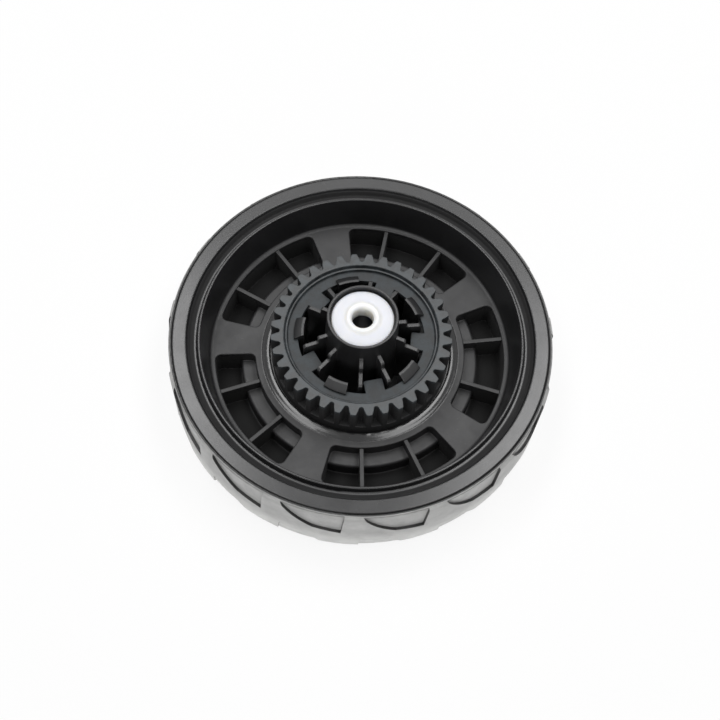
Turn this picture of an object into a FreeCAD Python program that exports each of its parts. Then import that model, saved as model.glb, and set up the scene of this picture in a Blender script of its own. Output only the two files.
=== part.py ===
import FreeCAD, Part
import math
import os

os.makedirs("parts", exist_ok=True)

V = FreeCAD.Vector
ORIGIN = V(0, 0, 0)
UP = V(0, 0, 1)

# The wheel lies on its outer face at z = 0, with the axle line on Z and the gear side up. Sizes in mm.
tread_r = 101.6
rim_face = 44.0

# Tyre: a tread band keyed into the rim's channel, with a bead at the seam and pockets along each edge
tyre_t = 2.9
key_depth = 2.2
key_inset = 6.0
seam_depth = 0.9
bead_w = 1.5
bead_top_drop = 0.3
bead_drop = 1.05
bead_step = 0.2
shoulder_r = 3.9
shoulder_deg = 45.0
low_shoulder_r = 5.0
pockets = 15
pocket_depth = 1.6
pocket_run = 32.5
pocket_reach = 22.5
pocket_phase_deg = 6.5
low_pocket_run = 26.0
low_pocket_reach = 13.0
low_pocket_phase_deg = 10.7

# Rim: band under the tyre, grooved face and conical inner wall, ribbed on the outer side
band_t = 3.3
face_w = 7.3
face_t = 7.0
seam_round = 0.65
groove_w = 6.6
groove_depth = 4.0
flank_run = 1.9
flank_round = 0.6
crest_w = 1.3
crest_drop = 1.0
wall_lean = 4.2
wall_t = 2.6
rim_ribs = 15
rim_rib_t = 2.0
rim_rib_lift = 3.0

# Web with its windows, ribs and the ledge round the drum
sectors = 5
web_drop = 20.0
web_t = 3.0
web_margin = 3.1
spoke_half_deg = 8.1
spoke_wall_deg = 2.2
corner_share = 0.1415
window_edge_r = 0.7
rib_deg = 12.0
rib_t = 2.0
rib_drop = 1.0
ledge_depth = 7.7
ledge_share = 0.363
ledge_edge_r = 1.6
ledge_wall_t = 3.6
disc_lift = 4.0
disc_t = 3.0

# Skirt that slopes up to the gear, and the well under it
skirt_margin = 3.8
skirt_w = 4.1
skirt_rise = 1.5
skirt_foot_h = 0.3
skirt_edge_r = 0.5
skirt_gap = 0.925
seat_depth = 1.0
seat_inset = 0.6
well_wall_t = 4.0
well_floor = 10.0
well_floor_t = 3.0

# Hub with its collar, gussets and snap hooks
collar_rise = 19.0
collar_t = 1.4
hub_draft = 2.2
boss_t = 7.0
boss_lift = 2.0
gusset_deg = 14.0
gusset_t = 1.9
gusset_rise = 2.0
gusset_step_w = 5.4
gusset_step = 5.5
hook_half_deg = 10.0
hook_t = 2.6
hook_nose = 2.6
hook_h = 4.2
hook_lip_h = 1.2

# Drive gear
teeth = 36
module = 2.5
pressure_deg = 20.0
profile_shift = 0.36
addendum = 0.63
dedendum = 1.25
tooth_tip_r = 0.5
tooth_foot_h = 0.8
gear_rise = 1.6
tooth_w = 15.1
gear_step = 4.3
gear_edge_r = 0.8
step_ledge_w = 0.6
step_ledge_inset = 0.5
step_cove = 0.8
tooth_back = 2.45
skirt_relief = 1.7
plate_t = 3.0
plate_w = 7.1
tab_reach = 7.2
tab_corner_r = 0.8

# Bushes
bore_r = 5.6
sleeve_t = 3.4
flange_r = 16.0
flange_t = 3.0
bush_len = 7.3
bush_set_in = 2.5
lead_in_r = 2.2
nose_land = 0.8
nose_blend = 1.8
nose_h = 1.7

# Clearances, and the sink of one form into the next where two are fused
key_gap = 0.3
hook_gap = 0.15
hook_play = 0.4
gusset_play = 1.7
bush_gap = 1.0
core_gap = 1.4
sink = 1.0

seam_r = tread_r - tyre_t
band_r = seam_r - key_depth
band_in_r = band_r - band_t
face_in_r = seam_r - face_w
crest_r = face_in_r - groove_w
wall_foot_r = crest_r - wall_lean
gear_tip_r = module * (teeth / 2 + profile_shift + addendum)
gear_root_r = module * (teeth / 2 + profile_shift - dedendum)
skirt_top_r = gear_tip_r + skirt_gap
skirt_foot_r = skirt_top_r + skirt_w
window_in_r = skirt_foot_r + skirt_margin
window_out_r = wall_foot_r - web_margin
window_w = window_out_r - window_in_r
window_corner_r = corner_share * window_w
ledge_r = window_in_r + ledge_share * window_w
step_r = gear_root_r - tooth_back
skirt_in_r = step_r - skirt_relief
well_r = skirt_in_r - seat_inset
plate_open_r = step_r - plate_w
tab_in_r = plate_open_r - tab_reach
hook_r = plate_open_r - hook_play
hook_in_r = hook_r - hook_t
gusset_r = plate_open_r - gusset_play
collar_in_r = flange_r + bush_gap
collar_r = collar_in_r + collar_t
hub_foot_r = collar_r + hub_draft
gusset_step_r = collar_r + gusset_step_w
boss_r = collar_in_r + boss_t
sleeve_r = bore_r + sleeve_t
hub_core_r = bore_r + core_gap
nose_r = bore_r + lead_in_r + nose_land

web_top = rim_face - web_drop
seat_top = web_top - seat_depth
ledge_top = web_top - ledge_depth
disc_top = disc_lift + disc_t
collar_top = rim_face + collar_rise
gear_top = rim_face + gear_rise
plate_top = gear_top - gear_step
bush_face = collar_top - bush_set_in
low_bush_face = boss_lift + bush_set_in
pitch_deg = 360.0 / sectors


def outline(path):
    """Closed face in the XZ plane; an item is a point (r, z), or a pair (point on an arc, arc's end)."""
    def at(p):
        return V(p[0], 0, p[1])
    edges = []
    here = at(path[0])
    for item in path[1:] + path[:1]:
        if isinstance(item[0], tuple):
            there = at(item[1])
            edges.append(Part.Arc(here, at(item[0]), there).toShape())
        else:
            there = at(item)
            edges.append(Part.makeLine(here, there))
        here = there
    return Part.Face(Part.Wire(edges))


def corner(r, z, size):
    """Quarter round at the outer top edge (r, z), as the arc's middle and its last point."""
    cut = size * (1 - math.sqrt(0.5))
    return ((r - cut, z - cut), (r - size, z))


def turned(path, half_deg=180.0):
    """The outline swept about Z, from -half_deg to +half_deg."""
    solid = outline(path).revolve(ORIGIN, UP, 2 * half_deg)
    solid.rotate(ORIGIN, UP, -half_deg)
    return solid


def block(r0, r1, z0, z1, half_deg=180.0):
    """Ring, or sector of a ring, between two radii and two heights."""
    return turned([(r0, z0), (r1, z0), (r1, z1), (r0, z1)], half_deg)


def plate(path, t):
    """Flat plate of thickness t, standing on the XZ plane's outline."""
    solid = outline(path).extrude(V(0, t, 0))
    solid.translate(V(0, -t / 2, 0))
    return solid


def around(shape, count, phase_deg=0.0):
    """Copies of a shape at equal angles about Z."""
    copies = []
    for i in range(count):
        copy = shape.copy()
        copy.rotate(ORIGIN, UP, phase_deg + i * 360.0 / count)
        copies.append(copy)
    return copies


def upright(shape, beyond=0.0):
    """Edges of a shape that run along Z, further out than a radius."""
    lines = [e for e in shape.Edges if abs(e.tangentAt(e.FirstParameter).z) > 0.999]
    return [e for e in lines if math.hypot(e.Vertexes[0].X, e.Vertexes[0].Y) > beyond]


def window_pocket():
    """Window through the web, open down to the ledge and, outside the ledge's round edge, to the disc."""
    half = pitch_deg / 2 - spoke_half_deg
    top = web_top + sink
    upper = block(window_in_r, window_out_r, ledge_top, top, half)
    upper = upper.makeFillet(window_corner_r, upright(upper))
    soft = ledge_edge_r * (1 - math.sqrt(0.5))
    lower = turned([
        (ledge_r, disc_top),
        (window_out_r, disc_top),
        (window_out_r, top),
        (ledge_r - ledge_edge_r, top),
        (ledge_r - ledge_edge_r, ledge_top),
        ((ledge_r - soft, ledge_top - soft), (ledge_r, ledge_top - ledge_edge_r)),
    ], half)
    lower = lower.makeFillet(window_corner_r, upright(lower, window_out_r - 0.01))
    return upper.fuse(lower).removeSplitter()


def body_core():
    """Turned form of the moulding: rim, web, lip, well, hub and the hollows of the outer side."""
    crest = rim_face - crest_drop
    crest_out_r = crest_r + crest_w / 2
    crest_in_r = crest_r - crest_w / 2
    floor = rim_face - groove_depth
    flank_foot_r = face_in_r - flank_run
    soft = flank_round
    crown = web_top + skirt_rise
    crown_r = skirt_top_r + skirt_edge_r
    run = skirt_foot_r - crown_r
    fall = skirt_rise - skirt_foot_h
    swell_r = (run ** 2 + fall ** 2) / (2 * fall)
    swell = math.asin(run / swell_r) / 2
    skirt_mid = (crown_r + swell_r * math.sin(swell), crown - swell_r * (1 - math.cos(swell)))
    drum_in_r = window_in_r - web_t
    path = [
        (band_in_r, 0.0),
        (seam_r, 0.0),
        (seam_r, key_inset),
        (band_r, key_inset),
        (band_r, rim_face - key_inset),
        (seam_r, rim_face - key_inset),
        (seam_r, rim_face - seam_depth),
        ((seam_r - seam_round * 0.3, rim_face - seam_depth * 0.3), (seam_r - seam_round, rim_face)),
        (face_in_r + soft, rim_face),
        ((face_in_r + soft * 0.2, rim_face - soft * 0.2), (face_in_r - soft * 0.2, rim_face - soft)),
        (flank_foot_r + soft * 0.6, floor + soft * 1.3),
        ((flank_foot_r, floor + soft * 0.3), (flank_foot_r - soft, floor)),
        (crest_out_r + soft * 2, floor),
        ((crest_out_r + soft * 1.2, floor + soft * 0.3), (crest_out_r + soft * 0.8, floor + soft * 1.3)),
        (crest_out_r, crest - soft),
        ((crest_out_r - soft * 0.25, crest - soft * 0.2), (crest_out_r - soft * 0.8, crest)),
        (crest_in_r + soft * 0.8, crest),
        ((crest_in_r + soft * 0.2, crest - soft * 0.25), (crest_in_r - soft * 0.1, crest - soft)),
        (wall_foot_r, web_top + 2.0),
        ((wall_foot_r - 0.6, web_top + 0.6), (wall_foot_r - 2.0, web_top)),
        (skirt_foot_r + soft, web_top),
        ((skirt_foot_r + soft * 0.45, web_top + skirt_foot_h * 0.2), (skirt_foot_r, web_top + skirt_foot_h)),
        (skirt_mid, (crown_r, crown)),
        ((skirt_top_r + skirt_edge_r * 0.3, crown - skirt_edge_r * 0.3), (skirt_top_r, crown - skirt_edge_r)),
        (skirt_top_r, seat_top),
        (well_r, seat_top),
        (well_r, well_floor),
        (hub_foot_r, well_floor),
        (collar_r, collar_top - 0.5),
        corner(collar_r, collar_top, 0.5),
        (collar_in_r + 0.3, collar_top),
        (collar_in_r, collar_top - 0.3),
        (collar_in_r, bush_face - flange_t),
        (sleeve_r, bush_face - flange_t),
        (sleeve_r, bush_face - bush_len),
        (hub_core_r, bush_face - bush_len),
        (hub_core_r, low_bush_face + bush_len),
        (sleeve_r, low_bush_face + bush_len),
        (sleeve_r, low_bush_face + flange_t),
        (collar_in_r, low_bush_face + flange_t),
        (collar_in_r, boss_lift),
        (boss_r, boss_lift),
        (boss_r, well_floor - well_floor_t),
        (well_r, well_floor - well_floor_t),
        (well_r, disc_lift),
        (well_r + well_wall_t, disc_lift),
        (well_r + well_wall_t, seat_top - web_t),
        (drum_in_r, seat_top - web_t),
        (drum_in_r, ledge_top - web_t),
        (ledge_r - ledge_wall_t, ledge_top - web_t),
        (ledge_r - ledge_wall_t, disc_lift),
        (wall_foot_r + wall_t, disc_lift),
        (crest_r + wall_t, rim_face - face_t),
        (band_in_r, rim_face - face_t),
    ]
    return turned(path)


def window_rib():
    """Low plate across a window, from the drum to the rim's wall, standing on the ledge and the disc."""
    inner = window_in_r - sink
    outer = window_out_r + sink
    step = ledge_r - ledge_edge_r - sink
    return plate([
        (inner, ledge_top - sink),
        (step, ledge_top - sink),
        (step, disc_top - sink),
        (outer, disc_top - sink),
        (outer, web_top - rib_drop),
        (inner, web_top - rib_drop),
    ], rib_t)


def rim_rib():
    """Plate on the outer side that ties the rim's inner wall to the band."""
    under_face = rim_face - face_t + sink
    return plate([
        (wall_foot_r + wall_t - sink, disc_lift),
        (wall_foot_r + wall_t, rim_rib_lift),
        (band_in_r + sink, rim_rib_lift),
        (band_in_r + sink, under_face),
        (crest_r + wall_t - sink, under_face),
    ], rim_rib_t)


def gusset():
    """Radial plate from the hub, stepped down to a lower outer part."""
    low = rim_face + gusset_rise
    high = low + gusset_step
    foot = well_floor - sink
    inner = collar_in_r + collar_t / 2
    return plate([
        (inner, foot),
        (gusset_r, foot),
        (gusset_r, low - 1.0),
        (gusset_r - 1.0, low),
        (gusset_step_r + 0.6, low + 0.8),
        (gusset_step_r, low + 0.4),
        (gusset_step_r, high - 0.8),
        (gusset_step_r - 0.8, high),
        (inner, high + 0.6),
    ], gusset_t)


def snap_hook():
    """Curved finger from the well's floor, with a nose over the edge of the gear's plate."""
    foot = well_floor - sink
    under = plate_top + hook_gap
    return turned([
        (hook_in_r, foot),
        (hook_r, foot),
        (hook_r, under),
        (hook_r + hook_nose, under),
        (hook_r + hook_nose, under + hook_lip_h),
        (hook_in_r + hook_t / 2, under + hook_h),
        (hook_in_r, under + hook_h),
    ], hook_half_deg)


def make_body():
    """Wheel moulding: rim, web, drum, hub, ribs, gussets and hooks."""
    spoke_slot = block(
        ledge_r - ledge_wall_t - sink, window_out_r - sink, 0.0, web_top - web_t,
        spoke_half_deg - spoke_wall_deg)
    hook_slot = block(
        hook_r, hook_r + hook_nose + 2 * key_gap, 0.0, well_floor + sink, hook_half_deg)
    cuts = around(window_pocket(), sectors)
    cuts += around(spoke_slot, sectors, pitch_deg / 2)
    cuts += around(hook_slot, sectors, pitch_deg / 2)
    added = around(window_rib(), sectors, rib_deg) + around(window_rib(), sectors, -rib_deg)
    added += around(rim_rib(), rim_ribs)
    added += around(gusset(), sectors, gusset_deg) + around(gusset(), sectors, -gusset_deg)
    added += around(snap_hook(), sectors, pitch_deg / 2)
    body = body_core().cut(cuts).fuse(added).removeSplitter()
    window_edges = []
    for edge in body.Edges:
        box = edge.BoundBox
        middle = edge.valueAt((edge.FirstParameter + edge.LastParameter) / 2)
        level = abs(box.ZMin - web_top) < 1e-4 and abs(box.ZMax - web_top) < 1e-4
        if level and window_in_r - 0.1 < math.hypot(middle.x, middle.y) < window_out_r + 0.1:
            window_edges.append(edge)
    return body.makeFillet(window_edge_r, window_edges)


def toothed_rim(height):
    """Involute gear rim as a solid of the given height, one tooth centred on +X."""
    pitch_r = module * teeth / 2
    base_r = pitch_r * math.cos(math.radians(pressure_deg))
    foot_r = max(gear_root_r + tooth_foot_h, base_r)
    tooth_angle = 2 * math.pi / teeth

    def involute(angle):
        return math.tan(angle) - angle

    def half_angle(r):
        thick = module * (math.pi / 2 + 2 * profile_shift * math.tan(math.radians(pressure_deg)))
        turn = involute(math.radians(pressure_deg)) - involute(math.acos(min(1.0, base_r / r)))
        return thick / (2 * pitch_r) + turn

    def polar(r, angle):
        return V(r * math.cos(angle), r * math.sin(angle), 0)

    steps = 5
    radii = [foot_r + (gear_tip_r - foot_r) * i / steps for i in range(steps + 1)]
    edges = []
    for i in range(teeth):
        mid = i * tooth_angle
        rise = Part.BSplineCurve()
        rise.interpolate([polar(r, mid - half_angle(r)) for r in radii])
        fall = Part.BSplineCurve()
        fall.interpolate([polar(r, mid + half_angle(r)) for r in reversed(radii)])
        tip_half = half_angle(gear_tip_r)
        tip = Part.Arc(
            polar(gear_tip_r, mid - tip_half), polar(gear_tip_r, mid), polar(gear_tip_r, mid + tip_half))
        gap = Part.Arc(
            polar(foot_r, mid + half_angle(foot_r)), polar(gear_root_r, mid + tooth_angle / 2),
            polar(foot_r, mid + tooth_angle - half_angle(foot_r)))
        edges += [rise.toShape(), tip.toShape(), fall.toShape(), gap.toShape()]
    rim = Part.Face(Part.Wire(edges)).extrude(V(0, 0, height))
    return rim.makeFillet(tooth_tip_r, upright(rim, gear_tip_r - 0.01))


def make_gear():
    """Toothed rim on a plain flange, with an inner plate that carries keyed tabs."""
    soft = gear_edge_r * (1 - math.sqrt(0.5))
    ledge_in_r = step_r - step_ledge_inset - step_ledge_w
    ledge_z = plate_top + gear_step / 2
    gear = toothed_rim(tooth_w)
    gear.translate(V(0, 0, gear_top - tooth_w))
    gear = gear.fuse(block(skirt_in_r, gear_tip_r, seat_top, gear_top - tooth_w)).removeSplitter()
    hollow = turned([
        (0.0, seat_top - sink),
        (skirt_in_r, seat_top - sink),
        (skirt_in_r, plate_top - plate_t),
        (plate_open_r, plate_top - plate_t),
        (plate_open_r, plate_top),
        (ledge_in_r - 1.5 * step_cove, plate_top),
        ((ledge_in_r - 0.75 * step_cove, plate_top + 0.3 * step_cove),
         (ledge_in_r - 0.5 * step_cove, plate_top + step_cove)),
        (ledge_in_r - 0.3 * step_cove, ledge_z - 0.3),
        ((ledge_in_r - 0.2, ledge_z - 0.1), (ledge_in_r, ledge_z)),
        (ledge_in_r + step_ledge_w, ledge_z),
        (step_r, gear_top - gear_edge_r),
        ((step_r + soft, gear_top - soft), (step_r + gear_edge_r, gear_top)),
        (step_r + gear_edge_r, gear_top + sink),
        (0.0, gear_top + sink),
    ])
    gear = gear.cut(hollow)
    half_w = tab_in_r * math.sin(math.radians(gusset_deg)) - gusset_t / 2 - key_gap
    tab = Part.makeBox(
        tab_reach + sink, 2 * half_w, plate_t, V(tab_in_r, -half_w, plate_top - plate_t))
    tab = tab.makeFillet(tab_corner_r, [e for e in upright(tab) if e.Vertexes[0].X < tab_in_r + 0.1])
    return gear.fuse(around(tab, sectors)).removeSplitter()


def make_bush():
    """Flanged bush, flange face at z = 0 and sleeve downwards, with a raised nose that rounds into the bore."""
    mouth = lead_in_r * (1 - math.sqrt(0.5))
    return turned([
        (bore_r, -bush_len),
        (sleeve_r, -bush_len),
        (sleeve_r, -flange_t),
        (flange_r, -flange_t),
        (flange_r, -0.4),
        corner(flange_r, 0.0, 0.4),
        (nose_r + nose_blend, 0.0),
        ((nose_r + nose_blend * 0.4, nose_h * 0.2), (nose_r, nose_h * 0.65)),
        ((nose_r - nose_land * 0.45, nose_h * 0.91), (bore_r + lead_in_r, nose_h)),
        ((bore_r + mouth, nose_h - mouth), (bore_r, nose_h - lead_in_r)),
    ])


def tread_pocket(run, reach, top):
    """Shallow pocket at the tyre's edge z = 0, up to z = top: steep end, long curve back to the edge."""
    def at(along, down):
        return V(0, -along * run, -down * reach)

    edges = [
        Part.makeLine(V(0, 0, sink), at(0, 0)),
        Part.makeLine(at(0, 0), at(0.045, 1.0)),
        Part.makeLine(at(0.045, 1.0), at(0.49, 0.89)),
        Part.Arc(at(0.49, 0.89), at(0.83, 0.45), at(1.0, 0)).toShape(),
        Part.makeLine(at(1.0, 0), V(0, -run, sink)),
        Part.makeLine(V(0, -run, sink), V(0, 0, sink)),
    ]
    cutter = Part.Face(Part.Wire(edges)).extrude(V(tread_r + 10 * sink, 0, 0))
    return cutter.common(block(tread_r - pocket_depth, tread_r + 5 * sink, -reach - sink, top))


def make_tyre():
    """Tread band keyed into the rim's channel, with a bead along the seam and a row of pockets at each edge."""
    def shoulder(share):
        angle = math.radians(shoulder_deg * share)
        drop = bead_drop + bead_step + shoulder_r * math.sin(math.radians(shoulder_deg))
        return (tread_r - shoulder_r * (1 - math.cos(angle)), rim_face - drop + shoulder_r * math.sin(angle))

    low_z = low_shoulder_r + 0.5
    low_mid = low_shoulder_r * math.sqrt(0.5)
    low_end = math.sqrt(low_shoulder_r ** 2 - (low_shoulder_r - tyre_t) ** 2)
    band = turned([
        (seam_r, low_z - low_end),
        ((tread_r - low_shoulder_r + low_mid, low_z - low_mid), (tread_r, low_z)),
        shoulder(0.0),
        (shoulder(0.5), shoulder(1.0)),
        (seam_r + bead_w, rim_face - bead_drop),
        ((seam_r + bead_w * 0.6, rim_face - bead_top_drop), (seam_r + bead_w * 0.1, rim_face - bead_drop * 0.6)),
        (seam_r, rim_face - seam_depth),
        (seam_r, rim_face - key_inset),
        (band_r, rim_face - key_inset),
        (band_r, key_inset),
        (seam_r, key_inset),
    ])
    upper = tread_pocket(pocket_run, pocket_reach, -bead_drop - bead_step)
    upper.translate(V(0, 0, rim_face))
    lower = tread_pocket(low_pocket_run, low_pocket_reach, sink)
    lower.rotate(ORIGIN, V(1, 0, 0), 180)
    return band.cut(around(upper, pockets, pocket_phase_deg) + around(lower, pockets, low_pocket_phase_deg))


inner_bush = make_bush()
outer_bush = inner_bush.copy()
inner_bush.translate(V(0, 0, bush_face))
outer_bush.rotate(ORIGIN, V(1, 0, 0), 180)
outer_bush.translate(V(0, 0, low_bush_face))

nodes = {
    "wheel_body": make_body(),
    "tyre": make_tyre(),
    "drive_gear": make_gear(),
    "inner_bush": inner_bush,
    "outer_bush": outer_bush,
}
for name, shape in nodes.items():
    solid = shape.Solids[0]
    print(name, len(shape.Solids), solid.isValid(), round(solid.Volume / 1000, 1), solid.BoundBox)
    solid.exportStep("parts/" + name + ".step")
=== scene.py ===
import math

import bpy
import numpy as np
from mathutils import Matrix, Vector

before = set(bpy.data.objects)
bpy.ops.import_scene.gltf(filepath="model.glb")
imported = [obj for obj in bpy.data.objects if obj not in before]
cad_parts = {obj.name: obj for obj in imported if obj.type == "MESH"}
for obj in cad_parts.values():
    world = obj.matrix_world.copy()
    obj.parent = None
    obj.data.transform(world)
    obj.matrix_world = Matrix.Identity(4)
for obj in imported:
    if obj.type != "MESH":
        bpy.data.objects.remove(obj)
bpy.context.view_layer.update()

MM = 0.001

# Levels over the floor that the finishes follow
RIM_FACE = 44.0 * MM
WEB_TOP = 24.0 * MM
DISC_TOP = 7.0 * MM
PLATE_TOP = 41.3 * MM
TOOTH_TOP = 45.6 * MM
TREAD_MID = 24.0 * MM
TREAD_FOOT = 4.0 * MM

# Radii from the axle that the finishes follow
NOSE_R = 8.5 * MM
TOOTH_ROOT_R = 42.8 * MM
LEDGE_R = 64.6 * MM
WINDOW_OUT_R = 79.5 * MM
GROOVE_IN_R = 87.5 * MM
GROOVE_OUT_R = 90.6 * MM
SEAM_R = 98.6 * MM

# Roughness of the body's satin, and of the zones that differ from it: first radius, last radius, roughness
SATIN = 0.56
COLLAR_ZONE = (0.0 * MM, 20.5 * MM, 0.34)
HUB_ZONE = (20.5 * MM, 36.0 * MM, 0.38)
SKIRT_ZONE = (47.5 * MM, 53.0 * MM, 0.16)
WALL_ZONE = (80.0 * MM, 83.8 * MM, 0.34)
CREST_ZONE = (83.8 * MM, GROOVE_IN_R, 0.26)
GROOVE_ZONE = (GROOVE_IN_R, GROOVE_OUT_R, 0.8)
FACE_ZONE = (GROOVE_OUT_R, 99.0 * MM, 0.23)
BODY_ZONES = (COLLAR_ZONE, HUB_ZONE, SKIRT_ZONE, WALL_ZONE, CREST_ZONE, GROOVE_ZONE, FACE_ZONE)
ZONE_FADE = 0.4 * MM

# Fades of the masks, as radii, levels, a share of facing away from the axle for the scuffing and the painted
# light, or a level of noise for the fibres: the first value has none of the finish, the second all of it
POCKET_INSIDE = (LEDGE_R - 1.0 * MM, LEDGE_R + 0.5 * MM)
POCKET_OUTSIDE = (WINDOW_OUT_R + 1.0 * MM, WINDOW_OUT_R)
POCKET_MOUTH = (WEB_TOP - 1.0 * MM, WEB_TOP - 5.0 * MM)
POCKET_FLOOR = (DISC_TOP - 2.0 * MM, DISC_TOP - 1.0 * MM)
GROOVE_INSIDE = (GROOVE_IN_R - 0.3 * MM, GROOVE_IN_R + 0.5 * MM)
GROOVE_OUTSIDE = (GROOVE_OUT_R + 0.2 * MM, GROOVE_OUT_R - 0.2 * MM)
RIM_SEAM = (SEAM_R - 0.7 * MM, SEAM_R - 0.3 * MM)
SKIRT_FOOT = (51.0 * MM, 53.2 * MM)
BEYOND_SEAM = (SEAM_R + 0.7 * MM, SEAM_R + 1.3 * MM)
# Facing share for the scuffing and the painted light from the floor
SCUFF_AND_PAINTED_LIGHT = (0.35, 0.65)
PLATE_SUNK = (PLATE_TOP + 1.5 * MM, PLATE_TOP + 0.3 * MM)
BESIDE_ROOT = (TOOTH_ROOT_R - 0.6 * MM, TOOTH_ROOT_R)
UNDER_TOOTH_TOP = (TOOTH_TOP - 0.5 * MM, TOOTH_TOP - 3.5 * MM)
# Fade of the painted glow at the nose
NOSE_PAINTED_GLOW = (NOSE_R + 2.5 * MM, NOSE_R - 0.5 * MM)
FIBRE_CLOUD = (0.36, 0.66)

# Shares and roughness of painted shade and wear
GROOVE_PAINTED_SHADE = 0.7
PAINTED_SHADE_ROUGH = 0.95
WORN_ROUGH = 0.2
GAP_SHADE_ROUGH = 0.7

# Sizes of the patterns
MELT_CLOUD = 14.0 * MM
RUB_MARK = 1.1 * MM
DUST_PATCH = 9.0 * MM
GEAR_CLOUD = 5.0 * MM
# The eroded grain is 0.1 mm, the abraded grain of the rubber and the fibres are 0.2 mm and the tool rings are
# 0.05 mm apart. All four are drawn coarser so that they show.
ERODED_GRAIN = 0.45 * MM
RUBBER_GRAIN = 0.6 * MM
FIBRE = 0.5 * MM
TOOL_RING = 0.7 * MM

# Values between which most of a noise texture lies
NOISE_LOW, NOISE_HIGH = 0.3, 0.7

# Rounds of the moulded and of the turned edges
EDGE_R = 0.7 * MM
TURNED_EDGE_R = 1.8 * MM

# Colours, as sRGB
BODY_BLACK = "#1e1e1f"
# Rub marks, and on edges partly a painted highlight
RUBBED_AND_HIGHLIGHT_GREY = "#525252"
# Painted shade in the recesses and at the seam
PAINTED_SHADE_BLACK = "#050505"
TREAD_GREY = "#979796"
# Dust, and painted light from the floor
DUST_AND_FLOOR_LIGHT_GREY = "#dededc"
# Moulded skin, partly painted shade
SKIN_AND_SHADE_BLACK = "#1c1c1c"
GEAR_SLATE = "#171a1c"
GEAR_PALE = "#363b3e"
# Painted shade between the gear teeth
GAP_SHADE_BLACK = "#060607"
FLANGE_WHITE = "#e9eaf0"
# Painted glow at the nose and in the bore
NOSE_PAINTED_GLOW_WHITE = "#fdfcf4"
FLOOR_WHITE = "#f6f6f6"

# Settings that several nodes share
SOFT = {"interpolation_type": "SMOOTHSTEP"}
COLOUR = {"data_type": "RGBA"}
SUM = {"operation": "ADD"}
TIMES = {"operation": "MULTIPLY"}
TIMES_PLUS = {"operation": "MULTIPLY_ADD"}
LARGER = {"operation": "MAXIMUM"}
DOT = {"operation": "DOT_PRODUCT"}
LENGTH = {"operation": "LENGTH"}
UNIT = {"operation": "NORMALIZE"}
ROUND = {"samples": 6}

# A place or a direction times this has its height left out
ACROSS = (1, 1, 0)

# Floor: half its side and how far it lies under the wheel. The share of white that the camera sees in it
# grows from its lift at the near distance to all at the far one.
FLOOR_HALF = 4.0
FLOOR_DROP = 0.1 * MM
FLOOR_NEAR, FLOOR_FAR = 0.2, 0.9
FLOOR_LIFT = 0.87

# Light of the surround on the wheel, where the camera sees 1
SURROUND = 0.05

# Soft boxes: name, place, aim, width and depth, radiance
DOWN = (0, 0, -1)
SOFT_BOXES = (
    ("left_box", (-0.40, 0.43, 1.25), DOWN, (0.42, 0.6), 7.8),
    ("right_box", (0.37, 0.43, 1.25), DOWN, (0.42, 0.6), 7.8),
    ("left_front_box", (-0.45, -0.14, 1.25), DOWN, (0.42, 0.52), 5.2),
    ("right_front_box", (0.43, -0.14, 1.25), DOWN, (0.42, 0.52), 5.2),
    ("back_box", (0, 0.93, 1.25), DOWN, (0.6, 0.3), 2.4),
    ("front_fill", (0, -1.5, 0.4), (0, 1, -0.25), (2.0, 0.6), 2.6),
)

# Camera, from the ellipses of the wheel's coaxial circles
VIEW_DISTANCE = 616.0 * MM
VIEW_ELEVATION = math.radians(62.42)
VIEW_AZIMUTH = math.radians(0.96)
VIEW_ROLL = math.radians(4.75)
VIEW_LENS = 58.9
VIEW_SENSOR = 36.0
VIEW_SHIFT = (-1.55 / 720, -26.6 / 720)


def linear(code):
    """Linear RGBA of an sRGB hex colour."""
    srgb = np.array([int(code[i:i + 2], 16) for i in (1, 3, 5)]) / 255
    rgb = np.where(srgb <= 0.04045, srgb / 12.92, ((srgb + 0.055) / 1.055) ** 2.4)
    return (*rgb.tolist(), 1.0)


def add(tree, kind, settings=None, **links):
    """A node with its settings. Each link is an input's name, or its number after an underscore, with a
    value, another node's output, or a node whose first output in use is taken."""
    node = tree.nodes.new("ShaderNode" + kind)
    for key, value in (settings or {}).items():
        setattr(node, key, value)
    for key, value in links.items():
        socket = node.inputs[int(key[1:]) if key[1:].isdigit() else key.replace("_", " ")]
        if isinstance(value, bpy.types.Node):
            value = next(output for output in value.outputs if output.enabled)
        if isinstance(value, bpy.types.NodeSocket):
            tree.links.new(value, socket)
        else:
            socket.default_value = value
    return node


def mask(tree, *fades):
    """Product of smooth steps: each fade is a value, the level where its step is 0 and where it is 1."""
    share = 1.0
    for value, none, full in fades:
        step = add(tree, "MapRange", SOFT, Value=value, From_Min=none, From_Max=full)
        share = add(tree, "Math", TIMES, _0=share, _1=step)
    return share


def axle_distance(tree, place):
    """Radius of a place: its length with the height left out."""
    across = add(tree, "VectorMath", TIMES, _0=place, _1=ACROSS)
    return add(tree, "VectorMath", LENGTH, _0=across)


def seen(tree):
    """1 for rays from the camera, from a gloss or through a clear body, and 0 for the light on a surface."""
    path = add(tree, "LightPath").outputs
    direct = add(tree, "Math", LARGER, _0=path["Is Camera Ray"], _1=path["Is Glossy Ray"])
    return add(tree, "Math", LARGER, _0=direct, _1=path["Is Transmission Ray"])


def finish_material(name):
    """A new node material with no nodes yet."""
    material = bpy.data.materials.new(name)
    material.use_nodes = True
    material.node_tree.nodes.clear()
    return material, material.node_tree


def dress(material, *names):
    """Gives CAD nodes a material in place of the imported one."""
    for name in names:
        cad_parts[name].material_slots[0].material = material


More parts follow.
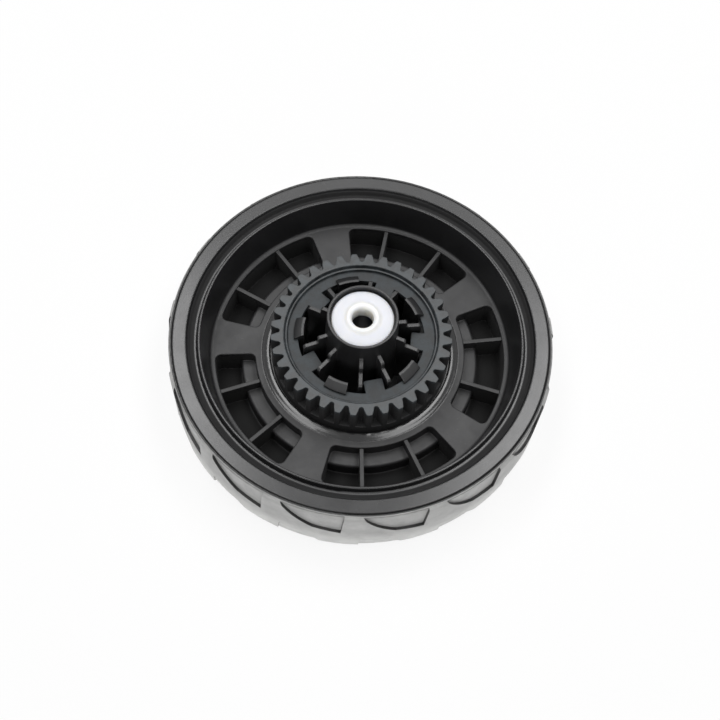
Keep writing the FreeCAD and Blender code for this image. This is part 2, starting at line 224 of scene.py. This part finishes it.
def moulded_polypropylene():
    """Black polypropylene from a spark-eroded mould: a satin that clouds a little where the melt cooled
    unevenly, smoother on the rim's face, the crest, the collar and the skirt round the gear, painted black
    and dull as shade in the pockets, the groove and the seam, with edges painted pale, partly as rubbing and
    partly as a painted highlight, and a few rub marks."""
    material, tree = finish_material("moulded_polypropylene")
    place = add(tree, "TexCoord").outputs["Object"]
    radius = axle_distance(tree, place)
    height = add(tree, "SeparateXYZ", Vector=place).outputs["Z"]
    # Roughness by zone, from the axle outwards
    rough = SATIN
    for start, end, value in BODY_ZONES:
        zone = mask(
            tree, (radius, start - ZONE_FADE, start + ZONE_FADE), (radius, end + ZONE_FADE, end - ZONE_FADE))
        rough = add(tree, "Mix", Factor=zone, A=rough, B=value)
    cloud = add(tree, "TexNoise", Vector=place, Scale=1 / MELT_CLOUD, Detail=6.0, Roughness=0.7)
    uneven = add(
        tree, "MapRange", Value=cloud, From_Min=NOISE_LOW, From_Max=NOISE_HIGH, To_Min=0.87, To_Max=1.13)
    rough = add(tree, "Math", TIMES, _0=rough, _1=uneven)
    # Painted shade: black and dull in the pockets, at the seam and, weaker, in the groove of the rim's face
    pocket = mask(
        tree, (radius, *POCKET_INSIDE), (radius, *POCKET_OUTSIDE),
        (height, *POCKET_MOUTH), (height, *POCKET_FLOOR))
    seam = mask(tree, (radius, *RIM_SEAM))
    groove = mask(tree, (radius, *GROOVE_INSIDE), (radius, *GROOVE_OUTSIDE))
    groove = add(tree, "Math", TIMES, _0=groove, _1=GROOVE_PAINTED_SHADE)
    painted_shade = add(tree, "Math", LARGER, _0=pocket, _1=seam)
    painted_shade = add(tree, "Math", LARGER, _0=painted_shade, _1=groove)
    rough = add(tree, "Mix", Factor=painted_shade, A=rough, B=PAINTED_SHADE_ROUGH)
    # Rub marks are few and far between
    rub = add(tree, "TexNoise", Vector=place, Scale=1 / RUB_MARK, Detail=2.0, Roughness=0.6)
    rubbed = add(tree, "MapRange", Value=rub, From_Min=0.7, From_Max=0.78, To_Max=0.6)
    # An edge is where the rounded normal leaves the true one
    edge = add(tree, "Bevel", ROUND, Radius=EDGE_R)
    turn = add(tree, "VectorMath", DOT, _0=edge, _1=add(tree, "NewGeometry").outputs["Normal"])
    wear_and_painted_light = add(tree, "MapRange", Value=turn, From_Min=0.98, From_Max=0.8, To_Max=0.8)
    rough = add(tree, "Mix", Factor=wear_and_painted_light, A=rough, B=WORN_ROUGH)
    # Rub marks are painted pale as wear, edges partly as wear and partly as a painted highlight
    pale = add(tree, "Math", LARGER, _0=rubbed, _1=wear_and_painted_light)
    black = add(tree, "Mix", COLOUR, Factor=pale, A=linear(BODY_BLACK), B=linear(RUBBED_AND_HIGHLIGHT_GREY))
    black = add(tree, "Mix", COLOUR, Factor=painted_shade, A=black, B=linear(PAINTED_SHADE_BLACK))
    # The foot of the skirt's swell runs out softly into the web
    foot = mask(tree, (radius, *SKIRT_FOOT))
    run_out = add(tree, "Bump", Strength=1.0, Distance=0.5 * MM, Height=foot, Normal=edge)
    grain = add(tree, "TexNoise", Vector=place, Scale=1 / ERODED_GRAIN, Detail=2.0)
    relief = add(tree, "Bump", Strength=0.08, Distance=0.05 * MM, Height=grain, Normal=run_out)
    shader = add(tree, "BsdfPrincipled", Base_Color=black, Roughness=rough, IOR=1.49, Normal=relief)
    add(tree, "OutputMaterial", Surface=shader)
    return material


def moulded_rubber():
    """Grey rubber from a plain mould: the tread and its shoulder are scuffed matt and painted pale, partly as
    scuffing and partly as painted light from the floor, dust lies on them in patches, painted floor light
    grows towards the foot, and the walls of the upper pockets stay dark, partly as skin and partly as painted
    shade, with painted black shade at the seam."""
    material, tree = finish_material("moulded_rubber")
    coords = add(tree, "TexCoord").outputs
    place = coords["Object"]
    radius = axle_distance(tree, place)
    height = add(tree, "SeparateXYZ", Vector=place).outputs["Z"]
    # Faces that look away from the axle are painted pale up to the seam, partly as scuffing and partly as
    # painted light from the floor, and the other faces are painted dark, partly as skin and partly as painted
    # shade
    outward = add(tree, "VectorMath", UNIT, _0=add(tree, "VectorMath", TIMES, _0=place, _1=ACROSS))
    facing = add(tree, "VectorMath", DOT, _0=coords["Normal"], _1=outward)
    wear_and_painted_light = mask(tree, (facing, *SCUFF_AND_PAINTED_LIGHT), (radius, *BEYOND_SEAM))
    # Dust in patches, also in the lower pockets, and painted light from the floor that grows towards the foot
    dust = add(tree, "TexNoise", Vector=place, Scale=1 / DUST_PATCH, Detail=4.0, Roughness=0.6)
    patch = add(tree, "MapRange", Value=dust, From_Min=NOISE_LOW, From_Max=NOISE_HIGH, To_Max=0.3)
    low = add(tree, "MapRange", SOFT, Value=height, From_Min=TREAD_MID, From_Max=TREAD_FOOT, To_Max=0.7)
    spread = add(tree, "Math", SUM, _0=patch, _1=low)
    pale = add(tree, "Mix", COLOUR, Factor=spread, A=linear(TREAD_GREY), B=linear(DUST_AND_FLOOR_LIGHT_GREY))
    # Painted shade: black at the seam
    beyond = mask(tree, (radius, *BEYOND_SEAM))
    skin = add(tree, "Mix", COLOUR, Factor=beyond, A=linear(PAINTED_SHADE_BLACK), B=linear(SKIN_AND_SHADE_BLACK))
    skin = add(tree, "Mix", COLOUR, Factor=low, A=skin, B=pale)
    grey = add(tree, "Mix", COLOUR, Factor=wear_and_painted_light, A=skin, B=pale)
    rough = add(tree, "MapRange", Value=wear_and_painted_light, To_Min=0.4, To_Max=0.46)
    grain = add(tree, "TexNoise", Vector=place, Scale=1 / RUBBER_GRAIN, Detail=3.0)
    edge = add(tree, "Bevel", ROUND, Radius=EDGE_R)
    relief = add(tree, "Bump", Strength=0.15, Distance=0.06 * MM, Height=grain, Normal=edge)
    shader = add(tree, "BsdfPrincipled", Base_Color=grey, Roughness=rough, IOR=1.52, Normal=relief)
    add(tree, "OutputMaterial", Surface=shader)
    return material


def moulded_nylon():
    """Glass-filled nylon moulding: dark slate grey and satin, with pale clouds where the fibres reach the
    skin, a duller plate inside the teeth, and painted shade that darkens the spaces between them."""
    material, tree = finish_material("moulded_nylon")
    place = add(tree, "TexCoord").outputs["Object"]
    radius = axle_distance(tree, place)
    height = add(tree, "SeparateXYZ", Vector=place).outputs["Z"]
    cloud = add(tree, "TexNoise", Vector=place, Scale=1 / GEAR_CLOUD, Detail=4.0, Roughness=0.65)
    share = mask(tree, (cloud, *FIBRE_CLOUD))
    slate = add(tree, "Mix", COLOUR, Factor=share, A=linear(GEAR_SLATE), B=linear(GEAR_PALE))
    sunk = mask(tree, (height, *PLATE_SUNK))
    dull = add(tree, "Math", TIMES_PLUS, _0=sunk, _1=0.2, _2=0.44)
    rough = add(tree, "Math", TIMES_PLUS, _0=share, _1=0.1, _2=dull)
    # Painted shade: near black and dull low between the teeth
    painted_gap_shade = mask(tree, (radius, *BESIDE_ROOT), (height, *UNDER_TOOTH_TOP))
    slate = add(tree, "Mix", COLOUR, Factor=painted_gap_shade, A=slate, B=linear(GAP_SHADE_BLACK))
    rough = add(tree, "Mix", Factor=painted_gap_shade, A=rough, B=GAP_SHADE_ROUGH)
    fibre = add(tree, "TexNoise", Vector=place, Scale=1 / FIBRE, Detail=2.0)
    edge = add(tree, "Bevel", ROUND, Radius=EDGE_R)
    relief = add(tree, "Bump", Strength=0.1, Distance=0.05 * MM, Height=fibre, Normal=edge)
    shader = add(tree, "BsdfPrincipled", Base_Color=slate, Roughness=rough, IOR=1.53, Normal=relief)
    add(tree, "OutputMaterial", Surface=shader)
    return material


def white_acetal():
    """Turned acetal: milky white, waxy and smooth, with faint rings from the tool, and painted warmer and
    brighter at the nose and in the bore, a painted glow for the light that comes through it."""
    material, tree = finish_material("white_acetal")
    place = add(tree, "TexCoord").outputs["Object"]
    radius = axle_distance(tree, place)
    # Rings of the wave node lie pi / 10 apart at scale 1
    rings = add(
        tree, "TexWave", {"wave_type": "RINGS", "rings_direction": "Z"}, Vector=place,
        Scale=math.pi / 10 / TOOL_RING, Distortion=0.6, Detail=1.0).outputs["Fac"]
    rough = add(tree, "MapRange", Value=rings, To_Min=0.26, To_Max=0.34)
    # Painted glow: the nose and the bore are painted a brighter, warmer white
    nose = mask(tree, (radius, *NOSE_PAINTED_GLOW))
    white = add(tree, "Mix", COLOUR, Factor=nose, A=linear(FLANGE_WHITE), B=linear(NOSE_PAINTED_GLOW_WHITE))
    edge = add(tree, "Bevel", ROUND, Radius=TURNED_EDGE_R)
    relief = add(tree, "Bump", Strength=0.04, Distance=0.02 * MM, Height=rings, Normal=edge)
    shader = add(
        tree, "BsdfPrincipled", Base_Color=white, Roughness=rough, IOR=1.48, Subsurface_Weight=1.0,
        Subsurface_Radius=(1.0, 0.95, 0.85), Subsurface_Scale=5 * MM, Normal=relief)
    add(tree, "OutputMaterial", Surface=shader)
    return material


def lay_floor():
    """Plain white floor that keeps the shadow, runs out into the white surround and is clear from below."""
    material, tree = finish_material("studio_floor")
    place = add(tree, "TexCoord").outputs["Object"]
    reach = add(tree, "VectorMath", LENGTH, _0=place)
    white = add(
        tree, "MapRange", SOFT, Value=reach, From_Min=FLOOR_NEAR, From_Max=FLOOR_FAR,
        To_Min=FLOOR_LIFT, To_Max=1.0)
    share = add(tree, "Math", TIMES, _0=seen(tree), _1=white)
    paint = add(tree, "BsdfDiffuse", Color=linear(FLOOR_WHITE))
    lift = add(tree, "Emission", Color=(1, 1, 1, 1), Strength=1.0)
    top = add(tree, "MixShader", _0=share, _1=paint, _2=lift)
    back = add(tree, "NewGeometry").outputs["Backfacing"]
    one_way = add(tree, "MixShader", _0=back, _1=top, _2=add(tree, "BsdfTransparent"))
    add(tree, "OutputMaterial", Surface=one_way)
    corners = [(-1, -1), (1, -1), (1, 1), (-1, 1)]
    mesh = bpy.data.meshes.new("studio_floor")
    mesh.from_pydata([(FLOOR_HALF * x, FLOOR_HALF * y, -FLOOR_DROP) for x, y in corners], [], [(0, 1, 2, 3)])
    mesh.materials.append(material)
    floor = bpy.data.objects.new("studio_floor", mesh)
    bpy.context.scene.collection.objects.link(floor)


def hang_lamp(name, place, aim, size, radiance):
    """Rectangular soft box that faces along aim. Its power is its radiance times its area times pi."""
    lamp = bpy.data.lights.new(name, "AREA")
    lamp.shape = "RECTANGLE"
    lamp.size, lamp.size_y = size
    lamp.energy = radiance * math.pi * size[0] * size[1]
    lamp_object = bpy.data.objects.new(name, lamp)
    lamp_object.location = place
    lamp_object.rotation_euler = Vector(aim).to_track_quat("-Z", "Y").to_euler()
    bpy.context.scene.collection.objects.link(lamp_object)


def light_studio():
    """White surround that lights the wheel only a little, soft boxes over it to the left and to the right
    with a slot between them, one behind and a low one in front for the tread."""
    world = bpy.data.worlds.new("studio")
    world.use_nodes = True
    tree = world.node_tree
    tree.nodes.clear()
    strength = add(tree, "MapRange", Value=seen(tree), To_Min=SURROUND, To_Max=1.0)
    surround = add(tree, "Background", Color=(1, 1, 1, 1), Strength=strength)
    add(tree, "OutputWorld", Surface=surround)
    bpy.context.scene.world = world
    for box in SOFT_BOXES:
        hang_lamp(*box)


def set_camera():
    """Camera at the photograph's place, looking at the middle of the rim's face."""
    target = Vector((0, 0, RIM_FACE))
    way = Vector((
        math.cos(VIEW_ELEVATION) * math.sin(VIEW_AZIMUTH),
        -math.cos(VIEW_ELEVATION) * math.cos(VIEW_AZIMUTH),
        math.sin(VIEW_ELEVATION)))
    camera = bpy.data.cameras.new("camera")
    camera.lens = VIEW_LENS
    camera.sensor_width = VIEW_SENSOR
    camera.shift_x, camera.shift_y = VIEW_SHIFT
    camera_object = bpy.data.objects.new("camera", camera)
    turn = way.to_track_quat("Z", "Y").to_matrix() @ Matrix.Rotation(VIEW_ROLL, 3, "Z")
    camera_object.matrix_world = Matrix.Translation(target + way * VIEW_DISTANCE) @ turn.to_4x4()
    bpy.context.scene.collection.objects.link(camera_object)
    bpy.context.scene.camera = camera_object


dress(moulded_polypropylene(), "wheel_body")
dress(moulded_rubber(), "tyre")
dress(moulded_nylon(), "drive_gear")
dress(white_acetal(), "inner_bush", "outer_bush")
lay_floor()
light_studio()
set_camera()
bpy.context.scene.view_settings.view_transform = "Standard"
